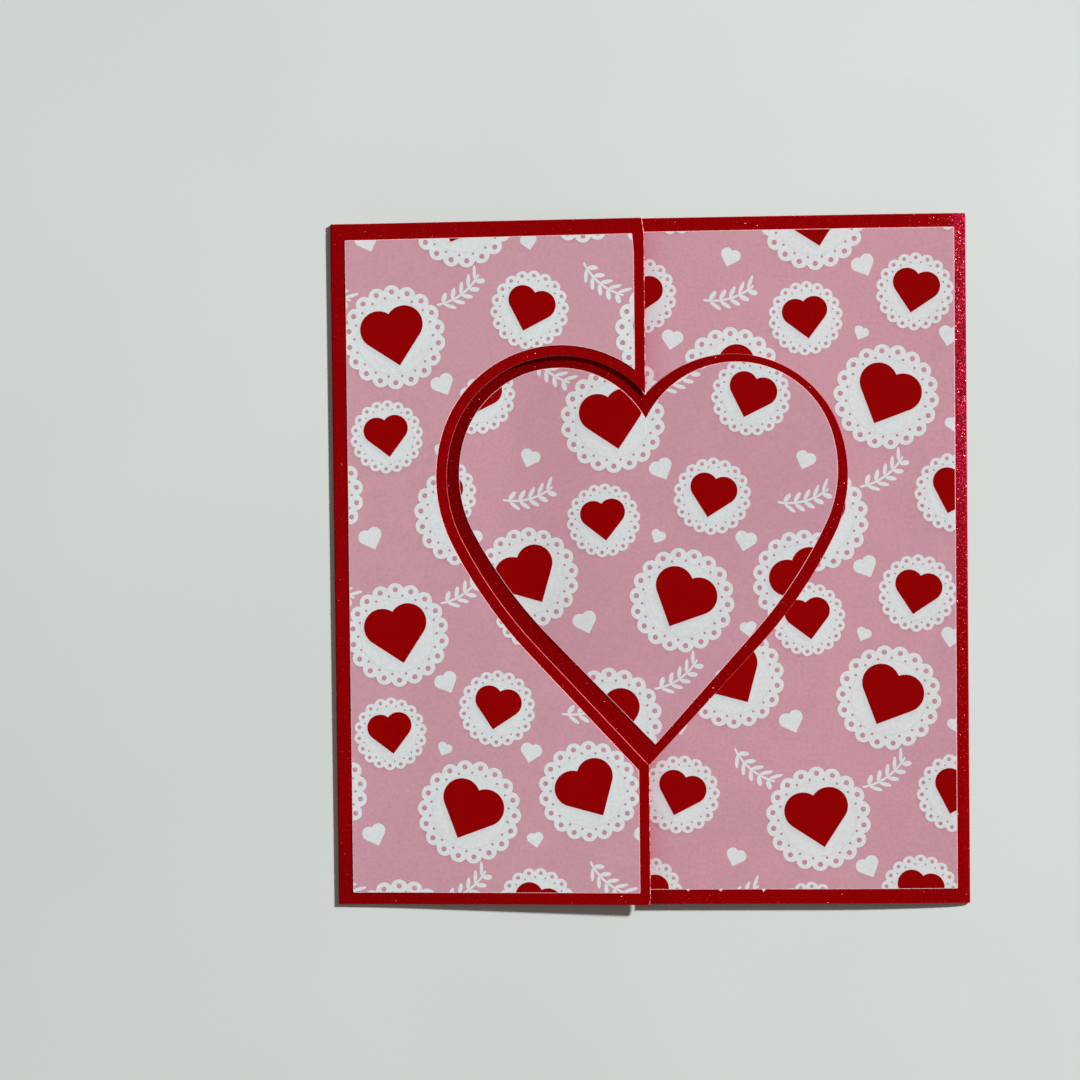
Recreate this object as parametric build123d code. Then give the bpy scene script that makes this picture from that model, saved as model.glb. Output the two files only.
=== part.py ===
from build123d import *
import os
from math import cos, radians, sin, sqrt

# A gate-fold greeting card that lies closed on its back.
# Millimetres. +X to the right, +Y to the top edge, +Z up.
# The origin is under the middle of the card, on the surface it lies on.

# Card blank: one scored sheet, folded in from both sides
card_width = 152.4
card_height = 165.1
card_stock = 0.30
fold_inner_radius = 0.06

# The two flaps meet a little left of the middle, and the right one tucks under
seam_x = -0.40
flap_lap = 1.0

# Left flap: leaves its fold nearly flat, then springs open at a steady slope
left_start_tilt = 0.4
left_lift_length = 22.0
left_free_tilt = 1.6

# Right flap: rolls up out of its fold, eases over and runs level to the seam
right_start_tilt = 8.0
right_roll_length = 3.0
right_roll_turn = 6.0
right_ease_length = 30.0

# Printed papers glued on the flaps
paper_stock = 0.13
left_paper_left = -72.6
left_paper_seam_border = 2.5
left_paper_top = 78.55
left_paper_bottom = -79.65
right_paper_right = 73.4
right_paper_top = 79.25
right_paper_bottom = -78.95
window_border = 2.6

# Heart: one outline for the window in the left flap and for the red mat
lobe_radius = 27.2
lobe_x = 20.65
lobe_y = 22.6
hip_radius = 33.6
hip_angle = 16.7
side_radius = 112.5
side_angle = -26.6
tail_angle = -42.9

# Printed heart: the same outline drawn smaller, glued a touch off the mat's middle
print_inset = 3.25
print_lobe_spread = 0.6
print_shift_x = 0.6
print_shift_y = 0.9
print_turn = 1.1
print_turn_centre_y = 2.0

# The heart's left half has no flap under it: it sags until it lies on the back.
# The run on the back is longer than the mat needs, and its outline trims it.
sag_bend_length = 14.0
sag_angle = 3.2
rest_length = 30.0

# Reach of the cutting shapes. The window's starts between the back panel and the flap.
window_cut_bottom = 2 * card_stock
cut_top = 12.0
spare = 5.0

half_stock = card_stock / 2
fold_outer_radius = fold_inner_radius + card_stock
fold_mid_radius = fold_inner_radius + half_stock
back_half = card_width / 2 - fold_outer_radius


# Sheet paths
# A path runs along the middle of a sheet in the XZ plane. Each run is its length
# and the degrees it turns by, anticlockwise positive and 0 for a straight run.
# A place on it is x, z and the heading in degrees.

def step(place, run):
    x, z, heading = place
    length, turn = run
    half_turn = radians(turn / 2)
    chord = length if turn == 0 else length * sin(half_turn) / half_turn
    direction = radians(heading) + half_turn
    return x + chord * cos(direction), z + chord * sin(direction), heading + turn


def places(start, runs):
    found = [start]
    for run in runs:
        found.append(step(found[-1], run))
    return found


# The point beside a place, on the right-hand side of the way the path runs
def beside(place, offset):
    x, z, heading = place
    across = radians(heading)
    return Vector(x + offset * sin(across), 0, z - offset * cos(across))


def side_edges(start, runs, offset):
    edges = []
    for place, run in zip(places(start, runs), runs):
        length, turn = run
        end = beside(step(place, run), offset)
        if turn == 0:
            edges.append(Edge.make_line(beside(place, offset), end))
        else:
            middle = beside(step(place, (length / 2, turn / 2)), offset)
            edges.append(Edge.make_three_point_arc(beside(place, offset), middle, end))
    return edges


# The sheet between two offsets of a path, as wide as the card is high
def sheet(start, runs, near, far):
    first = side_edges(start, runs, near)
    second = side_edges(start, runs, far)
    start_cap = Edge.make_line(first[0] @ 0, second[0] @ 0)
    end_cap = Edge.make_line(first[-1] @ 1, second[-1] @ 1)
    section = Face(Wire(first + [end_cap] + second + [start_cap]))
    return extrude(section, amount=card_height / 2, dir=(0, 1, 0), both=True)


# Outlines, seen from above

def turned_point(centre, radius, angle):
    return Vector(centre.X + radius * cos(radians(angle)), centre.Y + radius * sin(radians(angle)))


# The heart: round lobes, fuller hips, long gentle sides and a straight tail to the tip.
# grow moves the whole outline outward; each arc keeps its centre.
def heart_outline(grow=0.0, spread=0.0):
    lobe_centre = Vector(lobe_x + spread, lobe_y)
    hip_centre = turned_point(lobe_centre, lobe_radius - hip_radius, hip_angle)
    side_centre = turned_point(hip_centre, hip_radius - side_radius, side_angle)
    lobe = lobe_radius + grow
    notch = Vector(0, lobe_y + sqrt(lobe ** 2 - lobe_centre.X ** 2))
    notch_angle = (notch - lobe_centre).get_angle(Vector(1, 0))
    lobe_end = turned_point(lobe_centre, lobe, hip_angle)
    side_start = turned_point(side_centre, side_radius + grow, side_angle)
    side_end = turned_point(side_centre, side_radius + grow, tail_angle)
    tail = side_end.X / sin(radians(-tail_angle))
    tip = Vector(0, side_end.Y - tail * cos(radians(tail_angle)))
    right_half = [
        Edge.make_three_point_arc(
            notch, turned_point(lobe_centre, lobe, (notch_angle + hip_angle) / 2), lobe_end),
        Edge.make_three_point_arc(
            lobe_end,
            turned_point(hip_centre, hip_radius + grow, (hip_angle + side_angle) / 2),
            side_start),
        Edge.make_three_point_arc(
            side_start,
            turned_point(side_centre, side_radius + grow, (side_angle + tail_angle) / 2),
            side_end),
        Edge.make_line(side_end, tip),
    ]
    left_half = [edge.mirror(Plane.YZ) for edge in right_half]
    return Pos(seam_x, 0, 0) * Face(Wire(right_half + left_half))


def rectangle(left, right, bottom, top):
    middle = Pos((left + right) / 2, (bottom + top) / 2)
    return middle * Rectangle(right - left, top - bottom)


def upright(outline, bottom=-spare):
    return extrude(Pos(0, 0, bottom) * outline, amount=cut_top - bottom, dir=(0, 0, 1))


# Paths of the folded sheet, from the middle of the back panel round each fold.
# The left one is laid out to the right too, then mirrored.
back_middle = (0.0, half_stock, 0.0)
back_run = (back_half, 0.0)

right_fold_turn = 180 - right_start_tilt
right_fold = (fold_mid_radius * radians(right_fold_turn), right_fold_turn)
right_flap_start = places(back_middle, [back_run, right_fold])[-1]
right_curve = [
    (right_roll_length, right_roll_turn),
    (right_ease_length, right_start_tilt - right_roll_turn),
]
right_level_start = places(right_flap_start, right_curve)[-1]
right_edge_x = seam_x - flap_lap
right_level = (right_level_start[0] - right_edge_x, 0.0)
right_flap = right_curve + [right_level]

left_fold_turn = 180 - left_start_tilt
left_fold = (fold_mid_radius * radians(left_fold_turn), left_fold_turn)
left_flap_start = places(back_middle, [back_run, left_fold])[-1]
left_lift = (left_lift_length, left_start_tilt - left_free_tilt)
left_slope_start = step(left_flap_start, left_lift)
left_slope_length = (left_slope_start[0] + seam_x) / cos(radians(left_free_tilt))
left_flap = [left_lift, (left_slope_length, 0.0)]

# Heights of the layers above the middle of the sheet under them
paper_low = half_stock
paper_high = paper_low + paper_stock
mat_high = paper_high + card_stock
print_high = mat_high + paper_stock

# The mat follows the right flap's paper, then bends down and lands on the back panel
mat_drop = right_level_start[1] + paper_high - card_stock
sag_radius = sag_bend_length / radians(sag_angle)
sag_slope = (mat_drop - 2 * sag_radius * (1 - cos(radians(sag_angle)))) / sin(radians(sag_angle))
heart_path = right_flap + [
    (sag_bend_length, sag_angle),
    (sag_slope, 0.0),
    (sag_bend_length, -sag_angle),
    (rest_length, 0.0),
]


def make_card_base():
    window = upright(heart_outline(), bottom=window_cut_bottom)
    left_half = sheet(back_middle, [back_run, left_fold] + left_flap, -half_stock, half_stock)
    left_half = left_half.mirror(Plane.YZ) - window
    right_half = sheet(back_middle, [back_run, right_fold] + right_flap, -half_stock, half_stock)
    return (left_half + right_half).clean()


def make_left_flap_paper():
    outline = rectangle(
        left_paper_left, seam_x - left_paper_seam_border, left_paper_bottom, left_paper_top)
    outline = outline - heart_outline(grow=window_border)
    paper = sheet(left_flap_start, left_flap, paper_low, paper_high).mirror(Plane.YZ)
    return paper & upright(outline)


def make_right_flap_paper():
    outline = rectangle(
        right_edge_x - spare, right_paper_right, right_paper_bottom, right_paper_top)
    return sheet(right_flap_start, right_flap, paper_low, paper_high) & upright(outline)


def make_heart_mat():
    return sheet(right_flap_start, heart_path, paper_high, mat_high) & upright(heart_outline())


def make_heart_paper():
    outline = heart_outline(grow=-print_inset, spread=print_lobe_spread)
    turn_centre = Pos(seam_x, print_turn_centre_y, 0)
    outline = turn_centre * Rot(0, 0, print_turn) * turn_centre.inverse() * outline
    outline = Pos(print_shift_x, print_shift_y, 0) * outline
    return sheet(right_flap_start, heart_path, mat_high, print_high) & upright(outline)


pieces = {
    "card_base": make_card_base(),
    "left_flap_paper": make_left_flap_paper(),
    "right_flap_paper": make_right_flap_paper(),
    "heart_mat": make_heart_mat(),
    "heart_paper": make_heart_paper(),
}

os.makedirs("parts", exist_ok=True)
for name, piece in pieces.items():
    export_step(piece, f"parts/{name}.step")
    box = piece.bounding_box()
    print(f"{name}: {len(piece.solids())} solid, {piece.volume:.0f} mm3, top at {box.max.Z:.2f} mm")
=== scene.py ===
from math import ceil, cos, pi, radians, sin, sqrt

import bmesh
import bpy
import numpy as np
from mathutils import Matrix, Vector, geometry, kdtree


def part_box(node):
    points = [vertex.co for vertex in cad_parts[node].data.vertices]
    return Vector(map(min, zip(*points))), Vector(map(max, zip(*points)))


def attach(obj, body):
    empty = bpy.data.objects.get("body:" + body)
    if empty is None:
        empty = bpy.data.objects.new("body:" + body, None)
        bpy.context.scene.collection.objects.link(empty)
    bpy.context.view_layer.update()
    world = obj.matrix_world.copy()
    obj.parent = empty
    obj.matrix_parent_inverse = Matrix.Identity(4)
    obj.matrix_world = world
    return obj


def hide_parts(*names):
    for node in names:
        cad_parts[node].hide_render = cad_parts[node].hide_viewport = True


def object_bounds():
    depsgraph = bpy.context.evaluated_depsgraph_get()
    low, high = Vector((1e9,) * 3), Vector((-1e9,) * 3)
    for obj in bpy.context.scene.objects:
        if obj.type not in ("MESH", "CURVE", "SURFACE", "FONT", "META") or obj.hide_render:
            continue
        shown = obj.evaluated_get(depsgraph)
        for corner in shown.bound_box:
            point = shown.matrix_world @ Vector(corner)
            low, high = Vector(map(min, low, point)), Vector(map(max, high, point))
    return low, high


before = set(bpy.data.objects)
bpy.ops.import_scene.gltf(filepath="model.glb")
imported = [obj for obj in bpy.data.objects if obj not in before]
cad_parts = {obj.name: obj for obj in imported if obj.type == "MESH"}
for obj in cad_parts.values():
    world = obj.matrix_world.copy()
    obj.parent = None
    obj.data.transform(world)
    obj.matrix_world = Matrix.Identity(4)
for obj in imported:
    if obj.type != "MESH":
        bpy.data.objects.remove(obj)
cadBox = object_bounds()

mm = 0.001


# Camera, light and floor

cameraRig = {
    "place": (-6.70, 13.48, 450.0),  # mm, above the closed card
    "tilt": (-1.028, 2.472, -0.651),  # degrees about X, Y and Z
    "lens": 62.09,
    "clip": (0.02, 30.0),  # metres
}

lightRig = {
    "azimuth": 32.0,  # degrees from +X towards +Y
    "elevation": 22.8,
    "distance": 4.3,  # metres
    "diameter": 0.34,
    "keyLevel": 0.84,  # share of the light on a level white sheet that comes from the lamp
    "fillLevel": 0.16,
    "fillTint": (1.16, 0.90, 0.84),  # the lamp makes up for it, so that what is lit stays neutral
    "backdropColour": (0.66, 0.70, 0.67),
}

table = {
    "side": 6.0,  # metres
    "colour": (0.650, 0.686, 0.654),
    "toneScale": 9.0,
    "toneSpread": 0.03,  # as a share
    "grainScale": 900.0,
    "grainSpread": 0.01,
    "roughness": 0.7,
    "specular": 0.0,
    "melt": (0.21, 0.6),  # metres from the card, over which the table melts into the backdrop
}


def link(thing):
    bpy.context.scene.collection.objects.link(thing)
    return thing


# Links the sockets that it is given, and sets the plain values
def setInputs(tree, node, inputs):
    for name, value in inputs.items():
        socket = node.inputs[name]
        if isinstance(value, bpy.types.NodeSocket):
            tree.links.new(value, socket)
        else:
            socket.default_value = value


def addNode(tree, kind, inputs=None, **settings):
    node = tree.nodes.new(kind)
    for name, value in settings.items():
        setattr(node, name, value)
    setInputs(tree, node, inputs or {})
    return node


# Adds a node and gives its first output
def outOf(tree, kind, inputs=None, **settings):
    return addNode(tree, kind, inputs, **settings).outputs[0]


# A node group with named sockets, listed under their kinds. Gives the tree and what comes into it.
def newTree(name, kind, inputs, outputs):
    tree = bpy.data.node_groups.new(name, kind)
    for way, kinds in (("INPUT", inputs), ("OUTPUT", outputs)):
        for socketKind, names in kinds.items():
            for socketName in names:
                tree.interface.new_socket(socketName, in_out=way, socket_type="NodeSocket" + socketKind)
    return tree, addNode(tree, "NodeGroupInput").outputs


def calc(tree, operation, *values, clamp=False):
    return outOf(tree, "ShaderNodeMath", dict(enumerate(values)), operation=operation, use_clamp=clamp)


def times(tree, total, *factors):
    for factor in factors:
        total = calc(tree, "MULTIPLY", total, factor)
    return total


def minus(tree, first, second):
    return calc(tree, "SUBTRACT", first, second)


def vectorCalc(tree, operation, *values, output="Vector"):
    return addNode(tree, "ShaderNodeVectorMath", dict(enumerate(values)), operation=operation).outputs[output]


def scaled(tree, vector, amount):
    return outOf(tree, "ShaderNodeVectorMath", {0: vector, "Scale": amount}, operation="SCALE")


def axes(tree, vector):
    return list(addNode(tree, "ShaderNodeSeparateXYZ", {0: vector}).outputs)


def makeCamera():
    data = bpy.data.cameras.new("camera")
    data.lens = cameraRig["lens"]
    data.clip_start, data.clip_end = cameraRig["clip"]
    camera = link(bpy.data.objects.new("camera", data))
    camera.location = Vector(cameraRig["place"]) * mm
    camera.rotation_euler = [radians(angle) for angle in cameraRig["tilt"]]
    bpy.context.scene.camera = camera


# 1 for a ray that shows the backdrop itself, and 0 for one that only brings light
def seenDirectly(tree):
    ray = addNode(tree, "ShaderNodeLightPath").outputs
    seen = calc(tree, "MAXIMUM", ray["Is Camera Ray"], ray["Is Glossy Ray"])
    return calc(tree, "MAXIMUM", seen, ray["Is Transmission Ray"])


def mixShader(tree, factor, first, second):
    return outOf(tree, "ShaderNodeMixShader", {0: factor, 1: first, 2: second})


def makeLight():
    azimuth, elevation = radians(lightRig["azimuth"]), radians(lightRig["elevation"])
    distance, key, fill = lightRig["distance"], lightRig["keyLevel"], lightRig["fillLevel"]
    towards = Vector((cos(elevation) * cos(azimuth), cos(elevation) * sin(azimuth), sin(elevation)))
    data = bpy.data.lights.new("window", "AREA")
    data.shape = "DISK"
    data.size = lightRig["diameter"]
    data.energy = key * pi ** 2 * distance ** 2 / sin(elevation)
    data.color = [(1 - fill * tint) / key for tint in lightRig["fillTint"]]
    lamp = link(bpy.data.objects.new("window", data))
    lamp.location = towards * distance
    lamp.rotation_euler = towards.to_track_quat("Z", "Y").to_euler()
    lamp.visible_camera = False

    world = bpy.data.worlds.new("room")
    world.use_nodes = True
    bpy.context.scene.world = world
    tree = world.node_tree
    tree.nodes.clear()
    room = outOf(tree, "ShaderNodeBackground", {"Color": (*lightRig["fillTint"], 1), "Strength": fill})
    backdrop = outOf(tree, "ShaderNodeBackground", {"Color": (*lightRig["backdropColour"], 1)})
    mixed = mixShader(tree, seenDirectly(tree), room, backdrop)
    addNode(tree, "ShaderNodeOutputWorld", {"Surface": mixed})


# Materials read Object coordinates, in metres, with a scale that turns them into the pattern's own unit

def newMaterial(name):
    material = bpy.data.materials.new(name)
    material.use_nodes = True
    tree = material.node_tree
    tree.nodes.clear()
    shader = addNode(tree, "ShaderNodeBsdfPrincipled")
    addNode(tree, "ShaderNodeOutputMaterial", {"Surface": shader.outputs[0]})
    where = addNode(tree, "ShaderNodeTexCoord").outputs["Object"]
    return material, tree, shader, where


def noise(tree, where, scale, detail=2.0):
    return outOf(tree, "ShaderNodeTexNoise", {"Vector": where, "Scale": scale, "Detail": detail})


# A colour is a socket or a tuple of red, green and blue
def mixColour(tree, factor, *colours):
    inputs = {0: factor}
    for index, colour in zip((6, 7), colours):
        inputs[index] = (*colour, 1) if isinstance(colour, tuple) else colour
    return addNode(tree, "ShaderNodeMix", inputs, data_type="RGBA").outputs[2]


def remap(tree, value, low, high, outLow=0.0, outHigh=1.0):
    inputs = {"Value": value, "From Min": low, "From Max": high, "To Min": outLow, "To Max": outHigh}
    return outOf(tree, "ShaderNodeMapRange", inputs)


# Goes from 0 to 1, or between the levels given, from one place in mm to another along an axis
def fade(tree, along, span, *levels):
    start, end = span
    return remap(tree, along, start * mm, end * mm, *levels)


# Goes from 0 to 1, or between the levels given, where the noise lies within its span
def patches(tree, where, scale, span, *levels, detail=2.0):
    return remap(tree, noise(tree, where, scale, detail), *span, *levels)


# A tone that wanders about 1 by a share of it
def wander(tree, where, scale, spread, span=(0.3, 0.7)):
    return patches(tree, where, scale, span, 1 - spread, 1 + spread)


def makeFloor():
    material, tree, shader, where = newMaterial("paleTable")
    tone = wander(tree, where, table["toneScale"], table["toneSpread"])
    grain = wander(tree, where, table["grainScale"], table["grainSpread"], (0.2, 0.8))
    setInputs(tree, shader, {"Base Color": scaled(tree, table["colour"], times(tree, tone, grain)),
                             "Roughness": table["roughness"], "Specular IOR Level": table["specular"]})
    away = remap(tree, vectorCalc(tree, "LENGTH", where, output="Value"), *table["melt"])
    backdrop = outOf(tree, "ShaderNodeEmission", {"Color": (*lightRig["backdropColour"], 1)})
    melted = mixShader(tree, times(tree, away, seenDirectly(tree)), shader.outputs[0], backdrop)
    setInputs(tree, tree.nodes["Material Output"], {"Surface": melted})
    half = table["side"] / 2
    corners = [(-half, -half, 0), (half, -half, 0), (half, half, 0), (-half, half, 0)]
    mesh = bpy.data.meshes.new("table")
    mesh.from_pydata(corners, [], [(0, 1, 2, 3)])
    mesh.materials.append(material)
    link(bpy.data.objects.new("table", mesh))


makeCamera()
makeLight()
makeFloor()
print("camera, light and floor are in place")


# Red pearl stock of the folded card and the heart's mat

redStock = {
    "cardColour": (0.265, 0.0004, 0.0012),
    "foldColour": (0.315, 0.0035, 0.0180),  # brighter crimson along the scored right fold: a painted sheen where the fold rolls to the lamp, beside its thicker glitter
    "matColour": (0.234, 0.0004, 0.0010),
    "matShadedColour": (0.150, 0.0003, 0.0006),  # painted shade: the mat is painted deeper towards its free half in the window
    "matFade": (12.0, -45.0),  # mm along X, over which it deepens
    "matFadeUp": (-34.0, 10.0),  # mm along Y
    "wornColour": (0.42, 0.085, 0.100),  # specks along the two folds
    "wornFrom": (75.90, 76.12),  # mm from the middle
    "wornScale": 2300.0,
    "wornShare": (0.60, 0.68),
    "grain": 0.05,  # how far its tone wanders, as a share
    "grainScale": 1400.0,
    "metallic": 0.14,
    "roughness": 0.42,
    "flakeSize": 0.24,  # mm
    "flakeTilt": 0.05,
    "foldFlakeTilt": 0.45,
    "specular": 0.04,
    "specularTint": (1.0, 0.05, 0.12),
}

# The right fold was scored hard. Its glitter shows from the top corner down to a little below the middle,
# and there the stock carries a painted sheen.
scoredFold = {"across": (72.2, 74.0), "along": (-14.0, 26.0)}  # mm, over which the glitter grows


def foldShare(tree, where, along=scoredFold["along"]):
    x, y, _ = axes(tree, where)
    return times(tree, fade(tree, x, scoredFold["across"]), fade(tree, y, along))


# Painted shade: near its fold the right flap leans to the light, and there the stock and the print are
# painted a little deeper
flapPaintedShade = {"along": (43.0, 72.0), "least": 0.91}


def paintedShadeByFold(tree, where):
    return fade(tree, axes(tree, where)[0], flapPaintedShade["along"], 1.0, flapPaintedShade["least"])


# Painted light on the stock: painted shade at the left flap's lower corner and right of the seam's foot, and
# a painted highlight at the top of the right fold. Each spot has mm along X where it begins, mm along X and
# up the card where it is full and where it ends, and its tone when full.
paintedLightSpots = [
    {"begins": -80.0, "across": (-76.0, -30.0), "up": (-80.0, -62.0), "tone": 0.82},
    {"begins": -0.4, "across": (-0.4, 6.5), "up": (-70.0, -50.0), "tone": 0.72},
    {"begins": 50.0, "across": (72.0, 61.0), "up": (80.0, 68.0), "tone": 1.20},
]


def paintedLightOnStock(tree, where):
    x, y, _ = axes(tree, where)
    total = 1.0
    for spot in paintedLightSpots:
        begun = calc(tree, "GREATER_THAN", x, spot["begins"] * mm)
        full = times(tree, fade(tree, x, spot["across"], 1.0, 0.0), fade(tree, y, spot["up"], 1.0, 0.0))
        total = times(tree, total, remap(tree, times(tree, begun, full), 0.0, 1.0, 1.0, spot["tone"]))
    return total


def wornFolds(tree, where):
    side = calc(tree, "ABSOLUTE", axes(tree, where)[0])
    specks = patches(tree, where, redStock["wornScale"], redStock["wornShare"])
    return times(tree, fade(tree, side, redStock["wornFrom"]), specks)


def redPearl(name, stockColour, otherColour, share):
    material, tree, shader, where = newMaterial(name)
    tone = wander(tree, where, redStock["grainScale"], redStock["grain"], (0.35, 0.65))
    # The painted shade near the right fold and the painted light of the stock spots join the stock's grain
    tone = times(tree, tone, paintedShadeByFold(tree, where), paintedLightOnStock(tree, where))
    # The other colour is the fold's painted sheen on the card, and the painted shade of the free half on the
    # mat
    base = mixColour(tree, share(tree, where), stockColour, otherColour)
    base = mixColour(tree, wornFolds(tree, where), base, redStock["wornColour"])
    flakes = {"Vector": where, "Scale": 1 / (redStock["flakeSize"] * mm)}
    flakes = addNode(tree, "ShaderNodeTexVoronoi", flakes).outputs["Color"]
    lean = vectorCalc(tree, "SUBTRACT", flakes, (0.5, 0.5, 0.5))
    tilts = (2 * redStock["flakeTilt"], 2 * redStock["foldFlakeTilt"])
    lean = scaled(tree, lean, remap(tree, foldShare(tree, where), 0.0, 1.0, *tilts))
    upright = addNode(tree, "ShaderNodeNewGeometry").outputs["Normal"]
    setInputs(tree, shader, {
        "Base Color": scaled(tree, base, tone),
        "Normal": vectorCalc(tree, "NORMALIZE", vectorCalc(tree, "ADD", upright, lean)),
        "Metallic": redStock["metallic"],
        "Roughness": redStock["roughness"],
        "Specular IOR Level": redStock["specular"],
        "Specular Tint": (*redStock["specularTint"], 1)})
    return material


# Share of the mat's painted shade, which grows towards its free half
def shadedFreeHalf(tree, where):
    x, y, _ = axes(tree, where)
    return times(tree, fade(tree, x, redStock["matFade"]), fade(tree, y, redStock["matFadeUp"]))


# Cut edges: fibres stand a little paler than the face, most of all along the worn seam

# The window's lower left side shows its pale core, painted only on that side, which the lamp lights: a
# painted highlight
windowCoreHighlight = {
    "colour": (0.86, 0.138, 0.134),
    "clearOfSeam": 1.0,  # mm
    "up": (16.0, 2.0),  # mm up the card, over which it pales
    "lowest": -50.0,
    "patchScale": 900.0,
    "patches": (0.35, 0.6),
    "share": (0.6, 1.0),
}

seamWear = {
    "reach": (1.6, 0.9),  # mm either side of the seam, where the pale patches end and where they are full
    "patchScale": 900.0,
    "patches": (0.46, 0.62),
}


# Where the window's cut edge is painted paler: a painted highlight on the side the lamp lights
def litCoreShare(tree, where):
    x, y, _ = axes(tree, where)
    above = calc(tree, "GREATER_THAN", y, windowCoreHighlight["lowest"] * mm)
    beside = calc(tree, "LESS_THAN", x, (cutEdges["seamX"] - windowCoreHighlight["clearOfSeam"]) * mm)
    pale = patches(tree, where, windowCoreHighlight["patchScale"], windowCoreHighlight["patches"], *windowCoreHighlight["share"])
    return times(tree, fade(tree, y, windowCoreHighlight["up"]), above, beside, pale)


def cutFibre(name, deep, pale, scale, roughness, seamPale=None):
    material, tree, shader, where = newMaterial(name)
    strands = patches(tree, where, scale, cutEdges["strands"], detail=3.0)
    colour = mixColour(tree, strands, deep, pale)
    if seamPale:
        colour = mixColour(tree, litCoreShare(tree, where), colour, windowCoreHighlight["colour"])
        away = calc(tree, "ABSOLUTE", minus(tree, axes(tree, where)[0], cutEdges["seamX"] * mm))
        worn = patches(tree, where, seamWear["patchScale"], seamWear["patches"])
        colour = mixColour(tree, times(tree, fade(tree, away, seamWear["reach"]), worn), colour, seamPale)
    setInputs(tree, shader, {"Base Color": colour, "Roughness": roughness,
                             "Specular IOR Level": cutEdges["specular"]})
    return material


# Printed paper: a generic repeat of scalloped rounds with hearts, small hearts and leafy sprigs

printDesign = {
    "tile": (66.0, 72.0),  # mm, the repeat
    "groundColour": (0.556, 0.292, 0.345),
    "shadeColour": (0.440, 0.215, 0.262),
    "whiteColour": (0.665, 0.690, 0.690),
    "creaseColour": (0.540, 0.545, 0.560),
    "redColour": (0.262, 0.0002, 0.0004),
    # x, y, radius in mm and turn in degrees
    "rounds": [(14, 14, 12.2, 12), (47, 20, 9.2, -18), (31, 43, 12.2, -25),
               (60, 48, 11.8, 30), (12, 62, 8.6, 8), (38, 68, 9.0, -12)],
    "smallHearts": [(8, 37, 2.9, 20), (46, 57, 2.6, -12), (26, 2, 2.8, 25), (60, 4.5, 2.4, -20),
                    (47, 36, 2.0, 10), (25, 58, 1.8, -25)],
    "sprigs": [(30.5, 24, 6.2, 35), (64, 26, 6.2, -40), (60, 67, 6.2, 15)],
    "inkBleed": 0.05,  # mm over which one colour gives way to the next
    "shadowReach": 1.3,  # mm
    "shadowShift": (-0.5, -0.7, 0.0),  # mm
    "shadowShare": 0.55,
    "creaseWidth": 0.008,  # half of the embossed line, as a share of its round's radius
    "creaseBleed": 0.2,  # mm
    "creaseShare": 0.6,
}

# A round's lengths are shares of its radius. Its rings of dots have the place of the dots and their size.
roundDesign = {
    "scallops": 18,
    "scallopRing": (0.86, 0.17),
    "body": 0.87,
    "eyeletRing": (0.90, 0.052),
    "innerRing": (0.785, 0.026),
    "line": 0.735,
    "shade": 0.95,
    "heart": 0.63,
    "heartMiddle": (0.0, -0.05, 0.0),
}

# A sprig's lengths are shares of half of its length
sprigDesign = {
    "bend": 0.22,
    "stem": 0.045,
    "leafLean": 0.75,
    "leafPitch": 0.38,
    "leafOut": 0.21,  # how far a leaf's middle lies from the stem
    "leafSize": (0.105, 0.17),
    "leafScale": 0.12,  # turns a leaf's own measure into the sprig's
    "leavesEnd": 0.95,
}

heartLobe = sqrt(2) - 1  # how far a lobe's middle stands out from the heart's middle, each way


# The place of a stamp on the repeat, turned and scaled so that its own radius is 1
def stampPlace(tree, where, centre, radius, turn):
    width, height = printDesign["tile"]
    offset = vectorCalc(tree, "SUBTRACT", where, (*centre, 0.0))
    offset = vectorCalc(tree, "WRAP", offset, (width / 2, height / 2, 1.0), (-width / 2, -height / 2, -1.0))
    inputs = {"Vector": offset, "Angle": radians(-turn)}
    return scaled(tree, outOf(tree, "ShaderNodeVectorRotate", inputs, rotation_type="Z_AXIS"), 1 / radius)


def reach(tree, x, y):
    joined = outOf(tree, "ShaderNodeCombineXYZ", {0: x, 1: y})
    return vectorCalc(tree, "LENGTH", joined, output="Value")


# How far a place lies outside a heart of half-width 1: a square on its corner, with two round lobes
def heartReach(tree, place):
    x, y, _ = axes(tree, place)
    side = calc(tree, "ABSOLUTE", x)
    lobe = reach(tree, minus(tree, side, heartLobe), minus(tree, y, heartLobe))
    lobe = minus(tree, lobe, sqrt(2) * heartLobe)
    square = minus(tree, calc(tree, "ADD", side, calc(tree, "ABSOLUTE", y)), 2 * heartLobe)
    return calc(tree, "MINIMUM", lobe, times(tree, square, sqrt(0.5)))


def stampTree(name, outputs):
    return newTree(name, "ShaderNodeTree", {"Vector": ["Place", "Shade Place"]}, {"Float": outputs})


def heartStamp():
    tree, given = stampTree("heartStamp", ["Reach"])
    addNode(tree, "NodeGroupOutput", {0: heartReach(tree, given["Place"])})
    return tree


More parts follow.
